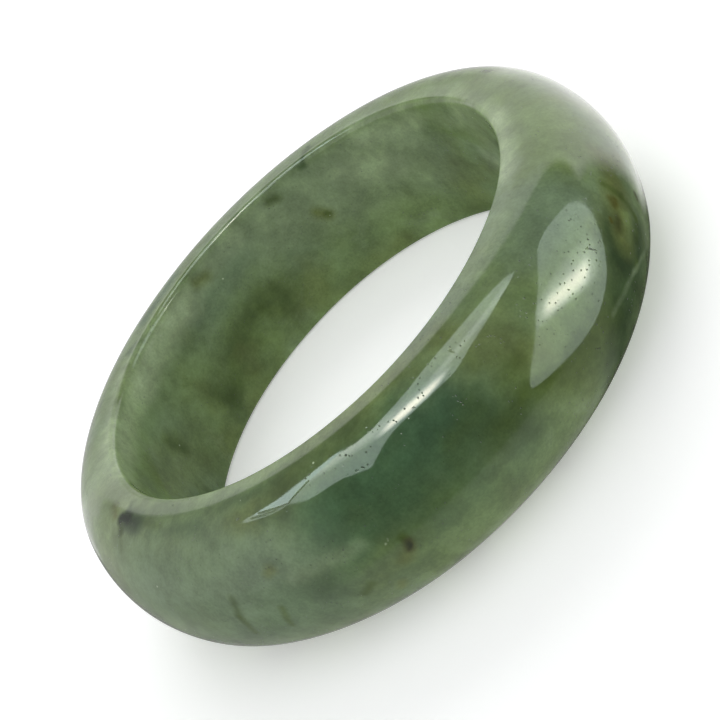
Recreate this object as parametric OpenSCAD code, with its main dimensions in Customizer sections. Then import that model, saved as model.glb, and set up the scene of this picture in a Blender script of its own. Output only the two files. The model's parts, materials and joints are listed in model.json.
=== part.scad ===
// Jade bangle bracelet: one closed ring cut and polished from a single block of stone.
// The band has a straight cylindrical bore, rounded bore edges, a narrow flat land on each side
// and a domed outside, made of two shoulder arcs and a crown arc that meet smoothly.
// Millimetres. The origin is the centre of the bore, and +Z is the ring's axis.

/* [Ring] */
// Diameter of the bore that the hand goes through
bore_d = 56; // [50:1:64]
// Width of the band along the ring's axis
band_w = 19.2; // [18:0.2:20]
// Thickness of the band from the bore to the crown
wall_t = 9.8; // [9:0.1:11]

/* [Section] */
// Radius of the crown arc across the middle of the outside
crown_r = 13.4; // [13:0.2:15]
// Radius of the shoulder arc between the crown and the side
shoulder_r = 7; // [6:0.2:7.2]
// Radius of the rounded edge where the bore meets the side
edge_r = 0.8; // [0.5:0.1:0.9]

/* [Smoothness] */
// Angle of each straight step along the section's arcs, in degrees
arc_step = 5; // [2:1:10]
// Straight steps in a full turn of the ring
turn_steps = 180; // [60:20:240]

/* [Hidden] */

bore_r = bore_d / 2;
half_w = band_w / 2;

// Centre of the rounded bore edge, in the section's plane: distance from the axis, then height
edge_c = [bore_r + edge_r, half_w - edge_r];
// Centre of the crown arc
crown_c = [bore_r + wall_t - crown_r, 0];
// Centre of the shoulder arc, placed so that the crown arc touches it from outside
shoulder_h = half_w - shoulder_r;
shoulder_c = [crown_c[0] + sqrt(pow(crown_r - shoulder_r, 2) - pow(shoulder_h, 2)), shoulder_h];
// Direction, seen from the crown's centre, in which the crown and the shoulder meet
meet_a = atan2(shoulder_c[1], shoulder_c[0] - crown_c[0]);

// Points along an arc from angle a0 to angle a1, both ends included
function arc(centre, r, a0, a1) =
    let (steps = ceil(abs(a1 - a0) / arc_step))
    [for (i = [0 : steps])
        let (a = a0 + (a1 - a0) * i / steps)
        centre + r * [cos(a), sin(a)]];

// A list without its first point, where the arc before it has ended on the same point
function rest(points) = [for (i = [1 : len(points) - 1]) points[i]];

// The same outline below the middle of the band, running back the other way
function mirrored(points) = [for (i = [len(points) - 1 : -1 : 0]) [points[i][0], -points[i][1]]];

// Upper half of the section, from the top of the bore wall round to the middle of the crown
upper_half = concat(
    arc(edge_c, edge_r, 180, 90),
    arc(shoulder_c, shoulder_r, 90, meet_a),
    rest(arc(crown_c, crown_r, meet_a, 0))
);

// The whole ring, turned from its section. The straight line that closes the outline is the bore.
module jade_ring() {
    color("#7d9577")
        rotate_extrude($fn = turn_steps)
            polygon(concat(upper_half, rest(mirrored(upper_half))));
}

jade_ring();
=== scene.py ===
"""Looks of a one-piece jade bangle.

A dense polished ring takes the place of the CAD node, in the same frame. The script makes its shape,
its stone, the studio that it reflects, and the camera.
"""

import json
import math

import bmesh
import bpy
from mathutils import Matrix, Vector, noise


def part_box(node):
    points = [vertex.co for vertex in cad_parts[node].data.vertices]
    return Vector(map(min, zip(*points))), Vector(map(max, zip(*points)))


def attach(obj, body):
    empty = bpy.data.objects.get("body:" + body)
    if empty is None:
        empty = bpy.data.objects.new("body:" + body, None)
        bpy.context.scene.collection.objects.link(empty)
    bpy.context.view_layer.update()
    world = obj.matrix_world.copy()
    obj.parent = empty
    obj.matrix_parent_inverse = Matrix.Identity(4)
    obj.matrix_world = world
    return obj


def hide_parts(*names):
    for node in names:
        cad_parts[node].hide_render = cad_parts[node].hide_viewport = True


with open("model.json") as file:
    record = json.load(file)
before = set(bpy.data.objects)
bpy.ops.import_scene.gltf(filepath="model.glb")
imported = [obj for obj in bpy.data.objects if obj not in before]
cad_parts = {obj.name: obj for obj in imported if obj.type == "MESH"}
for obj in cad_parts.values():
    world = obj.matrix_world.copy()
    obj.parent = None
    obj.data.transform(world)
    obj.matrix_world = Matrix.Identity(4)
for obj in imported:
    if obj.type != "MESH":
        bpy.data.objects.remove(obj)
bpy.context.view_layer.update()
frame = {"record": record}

MM = 0.001

# ---------------------------------------------------------------- sizes

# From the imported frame
LOW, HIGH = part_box("jade_ring")
BORE = next(m for m in frame["record"]["mounts"] if m["name"] == "wrist_bore")["dims"]
BORE_R = BORE["r_mm"] * MM
OUTER_R = HIGH.x
HALF_W = HIGH.z
EDGE_R = HALF_W - BORE["length_mm"] * MM / 2

# Radii of the two arcs that make the domed outside, as the CAD has them
CROWN_R = 13.4 * MM
SHOULDER_R = 7 * MM

# How densely the ring is built
TURN_STEPS = 640
ARC_STEP = 0.3 * MM
MIN_ARC_STEPS = 8

# How far hand polishing leaves the surface off its true section: the size and the height of its
# long waves and of its small flats
WAVE = (16 * MM, 0.05 * MM)
FLAT = (5 * MM, 0.008 * MM)


def polar(angle, radius, height):
    """A point from its angle round the ring in degrees, its distance from the axis and its height."""
    turned = math.radians(angle)
    return Vector((radius * math.cos(turned), radius * math.sin(turned), height))


# ---------------------------------------------------------------- the ring's shape


def arc(centre, radius, start, end):
    """Points and outward directions along an arc, evenly spaced, without the end point."""
    steps = max(MIN_ARC_STEPS, math.ceil(abs(end - start) * radius / ARC_STEP))
    made = []
    for i in range(steps):
        a = start + (end - start) * i / steps
        out = Vector((math.cos(a), math.sin(a)))
        made.append((centre + radius * out, out))
    return made


def straight(start, end, out):
    """Points along a straight stretch, evenly spaced, without the end point."""
    steps = max(2, math.ceil((end - start).length / (2 * ARC_STEP)))
    return [(start.lerp(end, i / steps), out) for i in range(steps)]


def section():
    """The closed outline of the band as (radius and height, outward direction) pairs."""
    quarter = math.pi / 2
    edge = Vector((BORE_R + EDGE_R, HALF_W - EDGE_R))
    crown = Vector((OUTER_R - CROWN_R, 0))
    rise = HALF_W - SHOULDER_R
    shoulder = Vector((crown.x + math.sqrt((CROWN_R - SHOULDER_R) ** 2 - rise ** 2), rise))
    meet = math.atan2(rise, shoulder.x - crown.x)
    down = Vector((1, -1))
    upper_land = [Vector((edge.x, HALF_W)), Vector((shoulder.x, HALF_W))]
    made = straight(Vector((BORE_R, -edge.y)), Vector((BORE_R, edge.y)), Vector((-1, 0)))
    made += arc(edge, EDGE_R, 2 * quarter, quarter)
    made += straight(upper_land[0], upper_land[1], Vector((0, 1)))
    made += arc(shoulder, SHOULDER_R, quarter, meet)
    made += arc(crown, CROWN_R, meet, -meet)
    made += arc(shoulder * down, SHOULDER_R, -meet, -quarter)
    made += straight(upper_land[1] * down, upper_land[0] * down, Vector((0, -1)))
    made += arc(edge * down, EDGE_R, -quarter, -2 * quarter)
    return made


def hand_finish(point):
    """How far the hand-polished surface stands off the true section at a point, in metres."""
    waves = noise.noise(point / WAVE[0]) * WAVE[1]
    flats = noise.noise(point / FLAT[0] + Vector((7, 3, 1))) * FLAT[1]
    return waves + flats


def ring_mesh():
    """The ring swept from its section, with the slight unevenness of hand polishing."""
    outline = section()
    bm = bmesh.new()
    rows = []
    for i in range(TURN_STEPS):
        turn = Matrix.Rotation(2 * math.pi * i / TURN_STEPS, 3, "Z")
        row = []
        for place, out in outline:
            point = turn @ Vector((place.x, 0, place.y))
            away = turn @ Vector((out.x, 0, out.y))
            row.append(bm.verts.new(point + away * hand_finish(point)))
        rows.append(row)
    for i, row in enumerate(rows):
        after = rows[(i + 1) % TURN_STEPS]
        for j in range(len(outline)):
            k = (j + 1) % len(outline)
            bm.faces.new((row[j], row[k], after[k], after[j])).smooth = True
    bmesh.ops.recalc_face_normals(bm, faces=bm.faces)
    mesh = bpy.data.meshes.new("jade_ring_polished")
    bm.to_mesh(mesh)
    bm.free()
    return mesh


# ---------------------------------------------------------------- node helpers


def add(tree, kind, inputs=None, **settings):
    """A shader node with its settings, and its inputs given as values or as other nodes' outputs."""
    made = tree.nodes.new(kind)
    for key, value in settings.items():
        setattr(made, key, value)
    for key, value in (inputs or {}).items():
        if isinstance(value, bpy.types.NodeSocket):
            tree.links.new(value, made.inputs[key])
        else:
            made.inputs[key].default_value = value
    return made


def math_node(tree, operation, *values):
    made = add(tree, "ShaderNodeMath", dict(enumerate(values)), operation=operation)
    return made.outputs[0]


def vector_node(tree, operation, *values):
    made = add(tree, "ShaderNodeVectorMath", dict(enumerate(values)), operation=operation)
    gives_number = operation in ("LENGTH", "DISTANCE", "DOT_PRODUCT")
    return made.outputs["Value" if gives_number else "Vector"]


def scaled(tree, vector, amount):
    made = add(tree, "ShaderNodeVectorMath", {0: vector, "Scale": amount}, operation="SCALE")
    return made.outputs["Vector"]


def smooth_range(tree, value, low, high, to_low=0.0, to_high=1.0):
    """Eases from to_low to to_high as the value goes from low to high."""
    made = add(tree, "ShaderNodeMapRange", {
        "Value": value, "From Min": low, "From Max": high, "To Min": to_low, "To Max": to_high,
    }, interpolation_type="SMOOTHSTEP")
    return made.outputs["Result"]


def noise_node(tree, place, period, detail, rough, warp=0.0):
    return add(tree, "ShaderNodeTexNoise", {
        "Vector": place, "Scale": 1 / period, "Detail": detail, "Roughness": rough, "Distortion": warp,
    })


def cloud(tree, place, period, detail=3.0, rough=0.55, warp=0.0):
    """Soft noise from 0 to 1 whose blotches are about period metres across."""
    return noise_node(tree, place, period, detail, rough, warp).outputs["Fac"]


def wandering(tree, place, period, reach):
    """The place moved about by soft noise, so that what is drawn round it gets an uneven edge."""
    drift = noise_node(tree, place, period, 3.0, 0.6).outputs["Color"]
    centred = vector_node(tree, "SUBTRACT", drift, (0.5, 0.5, 0.5))
    return vector_node(tree, "ADD", place, scaled(tree, centred, 2 * reach))


def blend_colour(tree, factor, below, above):
    made = add(tree, "ShaderNodeMix", {0: factor, 6: below, 7: above}, data_type="RGBA")
    return made.outputs[2]


def distance_to_line(tree, place, start, end):
    """How far a place is from the straight line between two points."""
    along = end - start
    from_start = vector_node(tree, "SUBTRACT", place, start)
    share = vector_node(tree, "DOT_PRODUCT", from_start, along / along.length_squared)
    held = add(tree, "ShaderNodeClamp", {"Value": share}).outputs[0]
    return vector_node(tree, "DISTANCE", from_start, scaled(tree, along, held))


def speckle(tree, place, spacing, size, share):
    """Scattered round spots: 1 inside a spot, 0 outside. Share is how many of the cells have one."""
    cells = add(tree, "ShaderNodeTexVoronoi", {"Vector": place, "Scale": 1 / spacing})
    spot = smooth_range(tree, cells.outputs["Distance"], 1.2 * size / spacing, 0.5 * size / spacing)
    drawn = add(tree, "ShaderNodeSeparateXYZ", {0: cells.outputs["Color"]}).outputs[0]
    chosen = math_node(tree, "GREATER_THAN", drawn, 1 - share)
    return math_node(tree, "MULTIPLY", spot, chosen)


def new_material(name):
    """An empty node material, and its node tree."""
    made = bpy.data.materials.new(name)
    made.use_nodes = True
    made.node_tree.nodes.clear()
    return made, made.node_tree


# ---------------------------------------------------------------- the stone

JADE_IOR = 1.66

# Roughness of the polish at its best and at its worst, and what worn spots and turning lines add to it
POLISH = (0.045, 0.085)
WORN_ROUGHNESS = 0.5
LINE_ROUGHNESS = 0.008

# Heights in mm: how deep worn spots go, and how high the turning lines and the ripple stand
WORN_DEPTH = 0.03
LINE_HEIGHT = 0.0001
RIPPLE_HEIGHT = 0.004

# How much of the colour a pit takes away: painted shade in the pits
PIT_DARKNESS = 0.65

# Light and dark in the colour, as layers of noise: the size of its blotches in mm, its detail and its
# roughness, then two values of the noise and how bright the colour is at each
GRAIN = (
    (4.5, 3, 0.5, 0.3, 0.7, 0.82, 1.18),
    (0.3, 2, 0.5, 0.3, 0.7, 0.94, 1.06),
    (1.3, 5, 0.7, 0.25, 0.75, 0.88, 1.12),
)

SAGE = (0.175, 0.25, 0.098, 1)
PALE = (0.23, 0.30, 0.17, 1)
MIST = (0.15, 0.213, 0.13, 1)
OLIVE = (0.13, 0.165, 0.05, 1)
MOSS = (0.065, 0.10, 0.02, 1)
DEEP = (0.045, 0.10, 0.05, 1)
# Painted shade: laid on zones of the land and the outside that are to look less lit
PAINTED_SHADE = (0.06, 0.10, 0.045, 1)
# The darkest green: the stone's dark round the black inclusion, and painted shade low on the outside at the
# right
DARK_STONE_AND_SHADE = (0.025, 0.05, 0.018, 1)
LIME = (0.155, 0.225, 0.07, 1)
FERN = (0.17, 0.25, 0.115, 1)
BROWN = (0.085, 0.08, 0.012, 1)
UMBER = (0.045, 0.048, 0.012, 1)
BLACK = (0.005, 0.014, 0.003, 1)
# Pale specks in the stone, and a thin painted highlight along the bore's far edge
PALE_SPECK_AND_HIGHLIGHT = (0.4, 0.47, 0.32, 1)
# Painted light: a soft bright streak under the bore's edge, and brighter patches of the bore's wall and the
# rim
PAINTED_GLOW = (0.40, 0.50, 0.30, 1)

# Soft zones of colour, in the order in which they are laid on: the stone's tones, and some of painted shade
# and painted highlight, as marked. Each has its two ends (degrees round the ring, then distance from the
# axis and height in mm), its reach and the width of its soft edge in mm, its colour and its strength.
ZONES = (
    ((-150, 36, 5), (-122, 37, 2), 5, 6, MIST, 0.75),
    ((-165, 32, 9), (170, 31, 9), 3, 5, PALE, 0.45),
    ((-35, 34, 8), (10, 33, 8.5), 3, 5, LIME, 0.7),
    ((-33, 36, 6), (-24, 35, 7), 1, 3, LIME, 0.6),
    ((-110, 36, 5.5), (-88, 35.5, 6), 3, 5, DEEP, 0.85),
    ((-100, 37, 3), (-86, 37, 3), 2, 5, DEEP, 0.6),
    ((-96, 37.5, 1), (-84, 36.5, 5), 0.5, 2.5, MOSS, 0.5),
    # Painted shade: the darker lower right of the outside
    ((-62, 37.5, -4), (-46, 37.5, -1.5), 3, 4, DARK_STONE_AND_SHADE, 0.85),
    ((-60, 34, 8), (-46, 35, 8), 2, 3, MIST, 0.7),
    ((-78, 34, 8.5), (-72, 37, 4), 2, 3, OLIVE, 0.6),
    ((-80, 38, 0), (-62, 38, -2), 1.5, 3, MOSS, 0.6),
    ((-125, 34, 9), (-80, 31.5, 9.6), 1, 2, OLIVE, 0.6),
    # Painted shade in this row and the next two: the land, then the outside below its middle
    ((-122, 31.4, 9.5), (-98, 31.2, 9.6), 0.7, 1.6, PAINTED_SHADE, 0.55),
    ((-160, 31.6, 9.4), (-122, 31.4, 9.5), 0.6, 1.4, PAINTED_SHADE, 0.4),
    ((-126, 37, -1), (-84, 37, -0.5), 3.5, 3.5, PAINTED_SHADE, 0.5),
    ((-79, 37.6, 1.2), (-70, 37.8, 0.2), 0.6, 1.4, MOSS, 0.7),
    ((84, 28, 6), (40, 28, 3), 4, 6, PALE, 0.85),
    ((105, 28, 7), (150, 28, 6), 2, 4, FERN, 0.8),
    ((112, 28, 6), (96, 28, 5), 1.5, 4, MIST, 0.7),
    ((45, 28, 3), (36, 28, 1), 1.5, 3, LIME, 0.5),
    ((94, 28, -2), (102, 28, -2), 2, 4, MOSS, 0.7),
    ((111, 28, -3), (125, 28, -5), 1.5, 3.5, MOSS, 0.7),
    ((60, 28, -9), (120, 28, -9), 1, 3, OLIVE, 0.6),
    ((145, 28, -4), (165, 28, 0), 2, 4, OLIVE, 0.5),
    ((46, 28, 3), (30, 28, 7), 1.5, 3, PALE, 0.6),
    # Painted highlight: the soft bright streak under the bore's far edge, in this row and the next
    ((100, 28, 8.3), (118, 28, 8), 0.4, 1.4, PALE, 0.6),
    ((118, 28, 7.9), (162, 28, 8.2), 0.6, 1.6, PALE, 0.85),
    # Painted shade: the darker land beside the bore's far edge
    ((62, 29.8, 9.6), (132, 29.6, 9.6), 0.4, 0.9, PAINTED_SHADE, 0.8),
    ((34, 28, 0.8), (45, 28, 1.3), 1.5, 3, PALE, 0.5),
    ((137, 28, 1.9), (142, 28, -5.5), 1, 3, SAGE, 0.5),
    ((112, 28, -4.6), (113, 28, -5), 1, 2, OLIVE, 0.9),
    # Painted shade on the outside
    ((-102, 37.8, -0.4), (-99, 37.8, -0.6), 1, 2.2, PAINTED_SHADE, 0.45),
    ((-85, 37.7, 1.2), (-84, 37.7, 1), 1, 2.2, MOSS, 0.4),
    ((-78, 37.1, 4.2), (-77, 37, 4.6), 1, 2, MOSS, 0.5),
    # Painted shade on the land
    ((-122, 34.3, 8.3), (-117, 34.3, 8.3), 0.8, 1.4, PAINTED_SHADE, 0.5),
    # Painted shade low on the outside at the right
    ((-49, 37.6, 2.3), (-50, 37.7, 0.5), 1, 2, DARK_STONE_AND_SHADE, 0.8),
    ((-101, 37.2, 3.9), (-97, 37.4, 3.2), 1, 2.5, DARK_STONE_AND_SHADE, 0.4),
    # Painted shade on the outside, in this row and the next two
    ((-150, 37.6, -2.5), (-133, 37.7, -1.3), 1, 2.5, PAINTED_SHADE, 0.5),
    ((-120, 37.7, 0.5), (-113, 37.7, 0.5), 1, 2.5, PAINTED_SHADE, 0.35),
    ((-68, 36.1, 6.5), (-69, 36, 6.6), 1, 2, PAINTED_SHADE, 0.4),
    ((-174, 35.4, 7.4), (178, 35.4, 7.4), 1, 2, PALE, 0.6),
    ((-33, 37.6, 2.2), (-30, 37.6, 2.4), 0.5, 1.4, OLIVE, 0.8),
)

# Small clouds whose places are known more closely, given in the same way, some of painted light and shade
CLOUDS = (
    # Painted light, in this row and the next seven: a soft bright streak under the bore's edge, and
    # brighter patches of its wall
    ((115, 28, 7.2), (140, 28, 7.4), 1.2, 2.8, PAINTED_GLOW, 0.8),
    ((140, 28, 7.6), (165, 28, 7.9), 1, 2.6, PAINTED_GLOW, 0.65),
    ((92, 28, 7.7), (115, 28, 7.3), 0.8, 2, PAINTED_GLOW, 0.45),
    ((46, 28, 7.7), (28, 28, 7.5), 0.8, 2, PAINTED_GLOW, 0.45),
    ((8, 28, 7.9), (-14, 28, 8.6), 1, 2.6, PAINTED_GLOW, 0.55),
    ((8, 28, 1.5), (12, 28, -0.5), 1.2, 2.5, PAINTED_GLOW, 0.45),
    ((166, 28, 8), (-178, 28, 8.5), 0.8, 2.4, PAINTED_GLOW, 0.5),
    ((57, 28, 5), (45, 28, 2.8), 1, 2.8, PAINTED_GLOW, 0.3),
    ((112, 28, -4.8), (111, 28, -5.4), 0.8, 2, SAGE, 0.4),
    ((148, 28, -0.1), (150, 28, 0.6), 0.8, 2, LIME, 0.6),
    ((32, 28, -8.1), (36, 28, -8.5), 0.6, 1.6, MOSS, 0.4),
    # Painted light, in this row and the next: the bore's edge at the right, and the outside at the left
    ((-16, 28.6, 9.6), (-38, 29, 9.6), 0.8, 2.2, PAINTED_GLOW, 0.6),
    ((-176, 35, 7.6), (-165, 36.6, 5.6), 0.8, 2.2, PAINTED_GLOW, 0.35),
    # Painted shade on the land
    ((-143, 32, 9.4), (-137, 32.2, 9.3), 0.3, 1.4, PAINTED_SHADE, 0.5),
    ((-103, 37.8, -0.7), (-102, 37.8, -0.4), 0.5, 1.8, MOSS, 0.3),
    ((-62, 37.8, -0.7), (-68, 37.8, -0.5), 0.6, 2, MOSS, 0.7),
    ((-38, 37.3, -3.5), (-40, 37, -4.2), 0.5, 1.6, PALE, 0.6),
    ((108, 30.6, 9.6), (122, 30.4, 9.6), 0.5, 1.4, DEEP, 0.6),
    ((138, 28.4, 9.5), (150, 28.4, 9.5), 0.3, 1, MOSS, 0.4),
    # Painted light on the bore's wall
    ((2, 28, 5), (20, 28, 6.6), 0.6, 2.2, PAINTED_GLOW, 0.3),
    ((-78, 37.4, 3.4), (-86, 37.8, 0.8), 0.8, 2.2, MOSS, 0.35),
    # Painted shade on the land, in this row and the next
    ((-150, 32.4, 9.2), (-135, 32.8, 9.1), 0.3, 1.4, PAINTED_SHADE, 0.35),
    ((-121, 33.7, 8.7), (-108, 32.4, 9.3), 0.3, 1.4, PAINTED_SHADE, 0.35),
    ((-110, 37.5, 2.8), (-107, 37.5, 3), 0.6, 2, DEEP, 0.45),
)

# Small marks in the stone, and one painted highlight, given in the same way
MARKS = (
    ((-33, 37, 4.5), (-37, 37.5, 2.5), 0.8, 1.6, OLIVE, 0.85),
    ((-39, 37.6, 2.5), (-47, 37.8, 0), 1.2, 1.8, OLIVE, 0.9),
    ((-42, 37.6, 2.6), (-42.6, 37.6, 2.2), 0.2, 0.7, BROWN, 0.7),
    ((-44.8, 37.7, 1.4), (-46.6, 37.7, 1.1), 0.35, 0.8, UMBER, 0.65),
    ((-41.3, 37.6, 2.2), (-41.8, 37.6, 2), 0.1, 0.5, BROWN, 0.7),
    ((-45.8, 37.6, 2.3), (-46.2, 37.6, 2.1), 0.1, 0.35, BROWN, 0.8),
    ((-39.9, 37.2, 4), (-39.5, 37.7, 1.3), 0.15, 0.7, MOSS, 0.7),
    ((-39.5, 37.7, 1.3), (-40.6, 37.7, -1.3), 0.1, 0.7, MOSS, 0.6),
    ((-40.6, 37.7, -1.3), (-44.4, 37.6, -2.1), 0.1, 0.7, MOSS, 0.6),
    ((-42.3, 37.8, 0.3), (-46.1, 37.8, -0.7), 0.3, 0.8, SAGE, 0.4),
    ((-35.2, 37.8, -1), (-35.7, 37.7, -1.3), 0.2, 0.45, UMBER, 0.85),
    ((-48, 37.5, -2.8), (-47.6, 37.5, -2.8), 0.3, 0.8, MOSS, 0.6),
    ((6, 33.3, 8.9), (8, 33.3, 8.9), 0.2, 0.6, MOSS, 0.8),
    ((-53.6, 37.3, 3.6), (-53.1, 37.5, 3.0), 0.08, 0.12, BLACK, 0.9),
    ((-163.2, 31.7, 9.5), (-161.2, 32.8, 9.1), 0.2, 0.8, MOSS, 0.85),
    ((-161.2, 32.8, 9.1), (-160, 34.4, 8.3), 0.1, 0.8, MOSS, 0.4),
    ((-163, 29.6, 9.6), (-162, 31, 9.6), 0.2, 0.7, DARK_STONE_AND_SHADE, 0.55),
    ((-168.5, 31, 9.6), (-166, 31.6, 9.5), 0.2, 0.9, BROWN, 0.5),
    ((-160, 31.5, 9.5), (-148, 31.6, 9.5), 0.1, 1.0, MOSS, 0.45),
    ((-160.5, 31.4, 9.5), (-156.2, 31.6, 9.5), 0.7, 1.6, DARK_STONE_AND_SHADE, 0.9),
    ((-163.4, 31.6, 9.5), (-160.8, 31.2, 9.5), 0.45, 0.7, BLACK, 0.97),
    ((-105.5, 37.8, -0.9), (-107, 37.7, -1.7), 0.4, 1, OLIVE, 0.8),
    ((-104.7, 37.8, 0.6), (-104.6, 37.8, -0.2), 0.3, 0.7, MOSS, 0.8),
    ((-104.6, 37.8, -0.1), (-105.2, 37.8, -0.8), 0.3, 0.65, UMBER, 0.9),
    ((-104.8, 37.8, -0.3), (-105.1, 37.8, -0.7), 0.15, 0.35, BLACK, 0.6),
    ((-107.1, 37.7, 1.2), (-107.1, 37.7, 1.15), 0.06, 0.12, PALE_SPECK_AND_HIGHLIGHT, 0.6),
    ((-106.4, 37.7, 1.5), (-106.5, 37.7, 1.3), 0.04, 0.1, PALE_SPECK_AND_HIGHLIGHT, 0.4),
    ((-113.5, 37.7, -1.8), (-115.5, 37.6, -2.6), 0.2, 0.6, MOSS, 0.7),
    ((-110.5, 37.2, -4), (-111, 37, -4.6), 0.3, 0.7, OLIVE, 0.7),
    ((-124, 36.9, 4.8), (-125, 36.9, 4.6), 0.3, 0.8, OLIVE, 0.75),
    ((-134, 37.5, 3.5), (-135.5, 37.8, 1), 0.08, 0.7, MOSS, 0.6),
    ((-135.5, 37.8, 1), (-136.5, 37.7, -2), 0.1, 0.6, MOSS, 0.75),
    ((-127.5, 37.8, 0.5), (-129.3, 37.7, -2.2), 0.1, 0.55, MOSS, 0.7),
    ((-122, 37.4, 3), (-110, 37.6, 2.5), 0.2, 1.2, PALE, 0.35),
    ((-41.2, 37, -4.6), (-50, 37.5, -2.7), 0.1, 0.5, PALE, 0.4),
    ((-50, 37.5, -2.7), (-59.1, 37.7, -1.9), 0.1, 0.5, PALE, 0.3),
    # Painted highlight: a thin pale streak along the bore's far edge
    ((122, 28, 8.4), (134, 28, 8.1), 0.15, 0.5, PALE_SPECK_AND_HIGHLIGHT, 0.3),
    ((78, 28, 7.9), (76, 28, 7.6), 0.5, 0.9, MOSS, 0.7),
    ((71, 28, 2.4), (69, 28, 1.2), 0.5, 1.1, OLIVE, 0.9),
    ((69.2, 28, 1.5), (68.8, 28, 1.2), 0.2, 0.7, MOSS, 0.7),
    ((107, 28, 7.6), (104, 28, 7.2), 0.4, 1.2, OLIVE, 0.8),
    ((111, 28, 6), (112, 28, 5.4), 0.6, 1.4, PALE, 0.5),
    ((99, 28, -7), (103, 28, -6), 0.8, 1.8, LIME, 0.3),
    ((121, 28, -5), (124, 28, -5.6), 0.5, 1.6, MOSS, 0.6),
    ((150, 28, 1), (148, 28, -2), 0.3, 1.2, MOSS, 0.5),
)

# Short scratches and one chip, from end to end
SCRATCHES = (
    ((-53.9, 37.2, 3.9), (-53.0, 37.5, 2.9)),
    ((-121.8, 33.5, 8.8), (-118.1, 33.9, 8.6)),
    ((-118.1, 33.9, 8.6), (-115.4, 34.1, 8.4)),
    ((-123.5, 33.6, 8.7), (-120.5, 33.9, 8.6)),
    ((-120.5, 33.9, 8.6), (-118.1, 34.1, 8.5)),
    ((-111, 33.4, 8.9), (-115.5, 34.0, 8.5)),
    ((-80, 34, 8.5), (-80.2, 33.5, 8.8)),
)

# Where pits gather, from end to end and how wide
PITTED = (
    ((-66.7, 36.9, 4.9), (-52.7, 37.1, 4.4), 2.4),
    ((-91.8, 33.7, 8.7), (-78.6, 34, 8.5), 1.1),
    ((-107, 33.4, 8.9), (-92, 34.1, 8.4), 0.7),
)


def ends_of(start, end):
    """The two ends of a mark as points, from their angles, distances from the axis and heights in mm."""
    return [polar(angle, radius * MM, height * MM) for angle, radius, height in (start, end)]


def draw_marks(tree, colour, place, marks):
    """The colour with each soft-edged mark laid over it."""
    for start, end, reach, soft, paint, strength in marks:
        away = distance_to_line(tree, place, *ends_of(start, end))
        gone = (reach + soft) * MM
        full = max(reach - soft / 2, 0) * MM
        drawn = smooth_range(tree, away, gone, full, 0.0, strength)
        colour = blend_colour(tree, drawn, colour, paint)
    return colour


def stone_colour(tree, place):
    """Clouds over the sage ground, then zones and marks, some painted shade and highlight, then pale specks
    and fine grain.
    """
    broad = cloud(tree, place, 20 * MM, detail=2)
    middle = cloud(tree, place, 8 * MM, detail=4, warp=0.3)
    moved = vector_node(tree, "ADD", place, (0.1, 0.2, 0.3))
    patches = cloud(tree, moved, 11 * MM, detail=3)
    # The ground's colours: each one's noise, where in it the colour starts and is full, and its strength
    ground = (
        (broad, 0.4, 0.66, 0.6, MIST),
        (patches, 0.5, 0.7, 0.6, OLIVE),
        (middle, 0.54, 0.72, 0.45, PALE),
        (middle, 0.44, 0.3, 0.5, MOSS),
    )
    colour = SAGE
    for spread, start, full, strength, paint in ground:
        drawn = smooth_range(tree, spread, start, full, 0, strength)
        colour = blend_colour(tree, drawn, colour, paint)
    colour = draw_marks(tree, colour, wandering(tree, place, 7 * MM, 3 * MM), ZONES)
    colour = draw_marks(tree, colour, wandering(tree, place, 1.6 * MM, 0.35 * MM), CLOUDS + MARKS)
    pale_specks = speckle(tree, place, 2.6 * MM, 0.13 * MM, 0.17)
    colour = blend_colour(tree, pale_specks, colour, PALE_SPECK_AND_HIGHLIGHT)
    for size, detail, rough, low, high, dark, bright in GRAIN:
        spread = cloud(tree, place, size * MM, detail, rough)
        colour = scaled(tree, colour, smooth_range(tree, spread, low, high, dark, bright))
    return colour


def worn_spots(tree, place):
    """Where the polish is broken, from 0 to 1: the gathered pits, and the scratches."""
    gathered = smooth_range(tree, cloud(tree, place, 4 * MM), 0.5, 0.62)
    for start, end, reach in PITTED:
        away = distance_to_line(tree, place, *ends_of(start, end))
        here = smooth_range(tree, away, 1.6 * reach * MM, 0.6 * reach * MM)
        gathered = math_node(tree, "MAXIMUM", gathered, here)
    squeezed = add(tree, "ShaderNodeMapping", {
        "Vector": place, "Rotation": (0.5, 0.3, 0.9), "Scale": (1, 0.6, 1),
    })
    small_pits = speckle(tree, squeezed.outputs[0], 0.42 * MM, 0.08 * MM, 0.6)
    large_pits = speckle(tree, place, 1.1 * MM, 0.12 * MM, 0.35)
    pits = math_node(tree, "MULTIPLY", math_node(tree, "MAXIMUM", small_pits, large_pits), gathered)
    scratches = 0.0
    for start, end in SCRATCHES:
        away = distance_to_line(tree, place, *ends_of(start, end))
        cut = smooth_range(tree, away, 0.1 * MM, 0.03 * MM)
        scratches = math_node(tree, "MAXIMUM", scratches, cut)
    return pits, scratches


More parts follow.
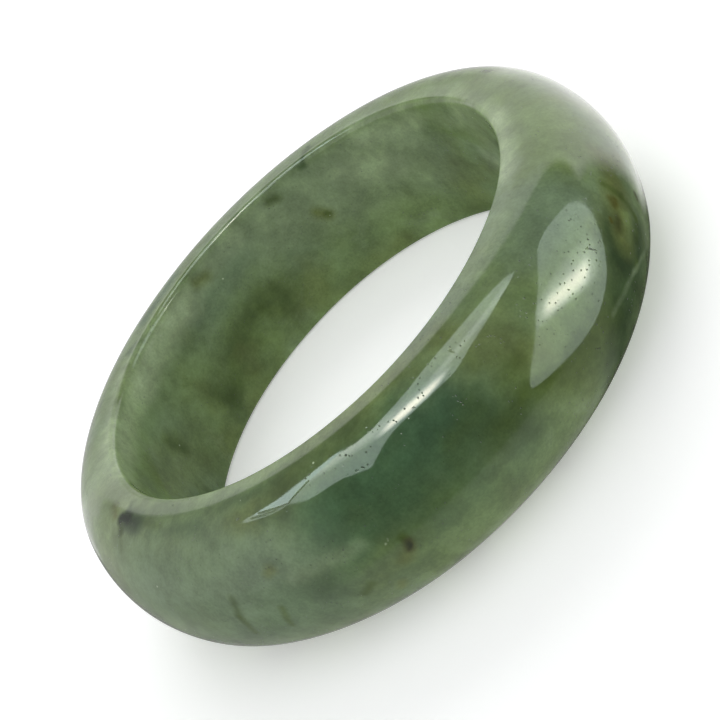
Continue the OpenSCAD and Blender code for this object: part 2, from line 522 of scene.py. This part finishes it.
def polish(tree, place, pits, scratches):
    """Roughness, and height in mm, of the polish: worn spots, faint turning lines, smears and ripple."""
    parts = add(tree, "ShaderNodeSeparateXYZ", {0: place})
    flat = add(tree, "ShaderNodeCombineXYZ", {0: parts.outputs[0], 1: parts.outputs[1]}).outputs[0]
    radius = vector_node(tree, "LENGTH", flat)
    sway = math_node(tree, "MULTIPLY", cloud(tree, place, 9 * MM), 0.6 * MM)
    turned = add(tree, "ShaderNodeCombineXYZ", {0: radius, 1: parts.outputs[2], 2: sway}).outputs[0]
    lines = cloud(tree, turned, 0.16 * MM, detail=2, rough=0.5)
    worn = math_node(tree, "MAXIMUM", pits, scratches)
    ripple = cloud(tree, place, 2.2 * MM, detail=2)
    smear = smooth_range(tree, cloud(tree, place, 6 * MM, detail=4), 0.35, 0.7, *POLISH)
    rough = math_node(tree, "MULTIPLY_ADD", worn, WORN_ROUGHNESS, smear)
    rough = math_node(tree, "MULTIPLY_ADD", lines, LINE_ROUGHNESS, rough)
    height = math_node(tree, "MULTIPLY", worn, -WORN_DEPTH)
    height = math_node(tree, "MULTIPLY_ADD", lines, LINE_HEIGHT, height)
    height = math_node(tree, "MULTIPLY_ADD", ripple, RIPPLE_HEIGHT, height)
    return rough, height


def jade_material():
    """The translucent polished stone."""
    material, tree = new_material("jade")
    place = add(tree, "ShaderNodeTexCoord").outputs["Object"]
    pits, scratches = worn_spots(tree, place)
    rough, height = polish(tree, place, pits, scratches)
    # Painted shade: the pits' colour is darkened
    painted_pit_shade = math_node(tree, "MULTIPLY_ADD", pits, -PIT_DARKNESS, 1.0)
    colour = scaled(tree, stone_colour(tree, place), painted_pit_shade)
    bump = add(tree, "ShaderNodeBump", {"Height": height, "Strength": 1.0, "Distance": MM})
    shader = add(tree, "ShaderNodeBsdfPrincipled", {
        "Base Color": colour,
        "Roughness": rough,
        "Normal": bump.outputs[0],
        "IOR": JADE_IOR,
        "Subsurface Weight": 0.6,
        "Subsurface Radius": (0.9, 1.0, 0.6),
        "Subsurface Scale": 1.8 * MM,
    })
    output = add(tree, "ShaderNodeOutputMaterial")
    tree.links.new(shader.outputs[0], output.inputs[0])
    return material


def make_ring():
    """The bangle, in the place of its CAD node."""
    ring = bpy.data.objects.new("jade_ring_polished", ring_mesh())
    bpy.context.scene.collection.objects.link(ring)
    ring.data.materials.append(jade_material())
    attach(ring, "root")
    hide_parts("jade_ring")


# ---------------------------------------------------------------- the studio

COOL = (0.86, 1.0, 0.96, 1)
WARM = (1.0, 0.97, 0.84, 1)
SKY = (0.78, 0.97, 0.98, 1)

# How far a card is from the ring's centre. The front card hangs just inside the top card.
CARD_DISTANCE = 0.45
FRONT_CARD_DISTANCE = 0.99 * CARD_DISTANCE

# Beside the first bar of a card, where the bars are cut off and where they are whole, in metres
HOT_CUT = (-0.07, -0.03)
# How much of the warm colour each unit of a bar's glow brings
WARM_SHARE = 0.1

# The outlines of the cards, and the bright bars on them: two ends, reach and peak. All in metres.
SIDE_OUTLINE = (
    (-0.20, 0.35), (-0.13, 0.355), (-0.06, 0.285), (0.0, 0.24), (0.075, 0.155), (0.127, 0.095),
    (0.15, 0.03), (0.175, -0.04), (0.21, -0.15), (0.20, -0.25), (0.10, -0.33), (-0.07, -0.40),
    (-0.14, -0.41), (-0.178, -0.32), (-0.186, -0.20), (-0.19, -0.10), (-0.203, 0.04), (-0.212, 0.20),
)
SIDE_BARS = (
    ((-0.12, -0.084), (0.04, -0.076), 0.055, 6),
    ((-0.12, -0.084), (0.04, -0.076), 0.13, 3.2),
)
TOP_OUTLINE = (
    (0.178, 0.265), (0.19, 0.18), (0.22, 0.07), (0.275, 0.005), (0.235, -0.03), (0.205, -0.058),
    (0.175, -0.085), (0.15, -0.115), (0.147, -0.14), (0.19, -0.22), (0.27, -0.34), (0.19, -0.31),
    (0.08, -0.27), (0.0, -0.315), (-0.04, -0.295), (-0.10, -0.255), (-0.13, -0.285), (-0.19, -0.272),
    (-0.25, -0.255), (-0.268, -0.222), (-0.232, -0.193), (-0.186, -0.15), (-0.172, -0.09), (-0.155, -0.052),
    (-0.05, -0.062), (-0.06, 0.03), (-0.09, 0.09), (-0.05, 0.14), (0.03, 0.19), (0.10, 0.23),
)
TOP_BARS = (
    ((0.085, -0.068), (0.155, -0.03), 0.065, 10),
    ((-0.12, -0.085), (0.11, -0.045), 0.085, 2.7),
    ((0.10, 0.03), (0.16, 0.19), 0.06, 1.6),
)
FRONT_OUTLINE = (
    (-0.155, -0.04), (-0.115, -0.055), (-0.125, -0.14), (-0.12, -0.17), (-0.112, -0.21), (-0.105, -0.245),
    (-0.16, -0.235), (-0.235, -0.215), (-0.235, -0.19), (-0.19, -0.15), (-0.178, -0.09),
)
BORE_CARD_GLOW = 0.15


def glow_material(name, fill, bars=(), soft_side=None, tint=COOL):
    """An even glow with brighter, warmer bars, which fade away from their lines and are cut on one side."""
    material, tree = new_material(name)
    strength = fill
    colour = tint
    if bars:
        place = add(tree, "ShaderNodeTexCoord").outputs["Object"]
        bright = 0.0
        for start, end, reach, peak in bars:
            away = distance_to_line(tree, place, start, end)
            bright = math_node(tree, "ADD", bright, smooth_range(tree, away, reach, 0.0, 0.0, peak))
        from_bar = vector_node(tree, "SUBTRACT", place, bars[0][0])
        across = vector_node(tree, "DOT_PRODUCT", from_bar, soft_side)
        bright = math_node(tree, "MULTIPLY", bright, smooth_range(tree, across, *HOT_CUT))
        strength = math_node(tree, "ADD", bright, fill)
        colour = blend_colour(tree, math_node(tree, "MULTIPLY", bright, WARM_SHARE), tint, WARM)
    shader = add(tree, "ShaderNodeEmission", {"Color": colour, "Strength": strength})
    output = add(tree, "ShaderNodeOutputMaterial")
    tree.links.new(shader.outputs[0], output.inputs[0])
    return material


def rounded(outline):
    """The outline with each corner cut off, a fifth of the way along both of its sides."""
    made = []
    for i, here in enumerate(outline):
        after = outline[(i + 1) % len(outline)]
        made += [here.lerp(after, 0.2), here.lerp(after, 0.8)]
    return made


def place_card(name, corners, material):
    """A flat card that only reflections show."""
    mesh = bpy.data.meshes.new(name)
    mesh.from_pydata([tuple(c) for c in corners], [], [tuple(range(len(corners)))])
    mesh.materials.append(material)
    card = bpy.data.objects.new(name, mesh)
    bpy.context.scene.collection.objects.link(card)
    card.visible_camera = False
    card.visible_diffuse = False
    card.visible_shadow = False
    card.visible_transmission = False


def reflection_card(name, towards, across, outline, fill, bars=(), distance=CARD_DISTANCE, tint=COOL):
    """A glowing card outside the picture, facing the ring, drawn by its outline along two directions."""
    towards = Vector(towards).normalized()
    right = (Vector(across) - towards * Vector(across).dot(towards)).normalized()
    up = towards.cross(right)

    def on_card(a, b):
        return towards * distance + right * a + up * b

    corners = rounded([on_card(a, b) for a, b in outline])
    lines = [(on_card(*start), on_card(*end), reach, peak) for start, end, reach, peak in bars]
    soft_side = towards.cross((lines[0][1] - lines[0][0]).normalized()) if lines else None
    place_card(name, corners, glow_material(name, fill, lines, soft_side, tint))


def make_cards():
    """The soft boxes beside and above the ring, and what its inner wall sees below."""
    beside = (0.921, -0.388, 0.028)
    beside_across = (0.299, 0.659, -0.69)
    above = (0, 0, 1)
    above_across = (0.407, -0.913, 0)
    reflection_card("side_card", beside, beside_across, SIDE_OUTLINE, 1.7, SIDE_BARS)
    reflection_card("top_card", above, above_across, TOP_OUTLINE, 2.3, TOP_BARS)
    reflection_card("front_card", above, above_across, FRONT_OUTLINE, 4.6, (), FRONT_CARD_DISTANCE, SKY)
    # A dim round card under the ring, which the bore's wall reflects
    bore = [polar(angle, BORE_R + 2 * EDGE_R, LOW.z - 0.1 * MM) for angle in range(0, 360, 10)]
    place_card("bore_card", bore, glow_material("bore_card", BORE_CARD_GLOW))


def area_light(name, place, size, power):
    """A square soft light that faces the ring. It leaves the reflections to the cards and the world."""
    light = bpy.data.lights.new(name, "AREA")
    light.shape = "SQUARE"
    light.size = size
    light.energy = power
    made = bpy.data.objects.new(name, light)
    bpy.context.scene.collection.objects.link(made)
    made.location = place
    made.rotation_mode = "QUATERNION"
    made.rotation_quaternion = Vector(place).to_track_quat("Z", "Y")
    made.visible_camera = False
    made.visible_glossy = False


def make_lights():
    """The lights that reach the stone itself, from behind, above, the right and the left."""
    area_light("back_light", (0.15, 0.45, 0.35), 0.5, 1.8)
    area_light("top_light", (-0.05, -0.05, 0.5), 0.4, 0.4)
    area_light("side_light", (0.45, -0.25, 0.2), 0.3, 0.2)
    area_light("left_light", (-0.3, -0.4, 0.4), 0.4, 0.7)


# How bright the wall behind is: a direction, two distances along it, and the wall's share of its full
# glow at the first and at the second. The shares are multiplied together.
WALL = (
    ((1, 0, -0.6), 0.2, 0.8, 0.93, 1.3),
    ((0.5, 0.86, -0.1), 0.94, 0.99, 1, 1.2),
    ((0, 1, 0), 0.898, 0.925, 1, 0.65),
    ((0.5, 0.866, 0), 0.38, 0.54, 0, 1),
    ((0.195, 0.902, 0.386), 0.345, 0.49, 0, 1),
    ((0.298, -0.657, 0.693), 0.35, 0.27, 0, 1),
    ((-0.6, 0, 0.8), 0.52, 0.46, 0, 1),
    ((0, 0, 1), 0.80, 0.73, 0, 1),
    ((0.3, 0, 1), -0.50, -0.40, 0, 1),
)

# The paler left side of the studio, dimmer towards the table, and the table on the left
LEFT = (
    ((-0.94, 0.342, 0), 0.2, 0.8, 0, 0.55),
    ((0, 0, 1), 0, -0.35, 1, 0.6),
)
TABLE = (
    ((0, 0, 1), -0.45, -0.6, 0, 0.32),
    ((0.8, 0.6, 0), 0.56, 0.36, 0, 1),
)

# The least that a reflection shows, what lights the stone, and what the camera sees behind the floor
DARK_STUDIO = 0.05
SOFT_LIGHT = 0.5
BACKDROP = 1.1


def studio_glow(tree):
    """How bright the studio is in each direction, for reflections: the wall, left side and table."""
    towards = add(tree, "ShaderNodeTexCoord").outputs["Generated"]

    def share(direction, start, end, before, after):
        along = vector_node(tree, "DOT_PRODUCT", towards, direction)
        return smooth_range(tree, along, start, end, before, after)

    def patch(shares):
        glow = share(*shares[0])
        for row in shares[1:]:
            glow = math_node(tree, "MULTIPLY", glow, share(*row))
        return glow

    sides = math_node(tree, "MAXIMUM", patch(LEFT), patch(TABLE))
    glow = math_node(tree, "MAXIMUM", sides, patch(WALL))
    return math_node(tree, "MAXIMUM", glow, DARK_STUDIO)


def make_world():
    """The studio: even and soft for the stone, shaped for reflections, plain white for the camera."""
    world = bpy.data.worlds.new("studio")
    bpy.context.scene.world = world
    world.use_nodes = True
    tree = world.node_tree
    tree.nodes.clear()
    path = add(tree, "ShaderNodeLightPath")
    soft = smooth_range(tree, path.outputs["Is Camera Ray"], 0, 1, SOFT_LIGHT, BACKDROP)
    strength = add(tree, "ShaderNodeMix", {
        0: path.outputs["Is Glossy Ray"], 2: soft, 3: studio_glow(tree),
    })
    sky = add(tree, "ShaderNodeBackground", {"Color": (1, 1, 1, 1), "Strength": strength.outputs[0]})
    output = add(tree, "ShaderNodeOutputWorld")
    tree.links.new(sky.outputs[0], output.inputs[0])


# The floor lies just under the ring, so that no ripple of its hand finish cuts the paper
FLOOR_LEVEL = LOW.z - 0.05 * MM
FLOOR_REACH = 3.0


def make_floor():
    """A wide sheet of pale paper."""
    mesh = bpy.data.meshes.new("floor")
    signs = ((-1, -1), (1, -1), (1, 1), (-1, 1))
    corners = [(x * FLOOR_REACH, y * FLOOR_REACH, FLOOR_LEVEL) for x, y in signs]
    mesh.from_pydata(corners, [], [(0, 1, 2, 3)])
    floor = bpy.data.objects.new("floor", mesh)
    bpy.context.scene.collection.objects.link(floor)
    material, tree = new_material("floor_paper")
    shader = add(tree, "ShaderNodeBsdfPrincipled", {
        "Base Color": (0.86, 0.87, 0.87, 1),
        "Roughness": 0.6,
        "Emission Color": (1, 1, 1, 1),
        "Emission Strength": 0.3,
    })
    output = add(tree, "ShaderNodeOutputMaterial")
    tree.links.new(shader.outputs[0], output.inputs[0])
    mesh.materials.append(material)
    floor.visible_glossy = False


# ---------------------------------------------------------------- the camera

CAMERA_DISTANCE = 166.6 * MM
CAMERA_ELEVATION = 27.3
CAMERA_ROLL = -46.2
CAMERA_LENS = 72.8
# Where the middle of the picture lies, from the ring's centre, along the picture's right and up
AIM_RIGHT = 1.4 * MM
AIM_UP = -2.3 * MM


def make_camera():
    """The camera, at the photograph's angle to the ring and rolled as the ring is rolled in the picture."""
    rise = math.radians(CAMERA_ELEVATION)
    roll = math.radians(CAMERA_ROLL)
    back = Vector((0, -math.cos(rise), math.sin(rise)))
    level = Vector((1, 0, 0))
    upright = back.cross(level)
    right = math.cos(roll) * level + math.sin(roll) * upright
    up = math.cos(roll) * upright - math.sin(roll) * level
    place = back * CAMERA_DISTANCE
    aim = right * AIM_RIGHT + up * AIM_UP
    towards_eye = (place - aim).normalized()
    side = up.cross(towards_eye).normalized()
    axes = Matrix((side, towards_eye.cross(side), towards_eye)).transposed()
    data = bpy.data.cameras.new("camera")
    data.lens = CAMERA_LENS
    data.clip_start = 0.01
    data.clip_end = 20
    camera = bpy.data.objects.new("camera", data)
    bpy.context.scene.collection.objects.link(camera)
    camera.matrix_world = Matrix.Translation(place) @ axes.to_4x4()
    bpy.context.scene.camera = camera


bpy.context.scene.view_settings.view_transform = "Standard"
make_ring()
make_cards()
make_lights()
make_world()
make_floor()
make_camera()
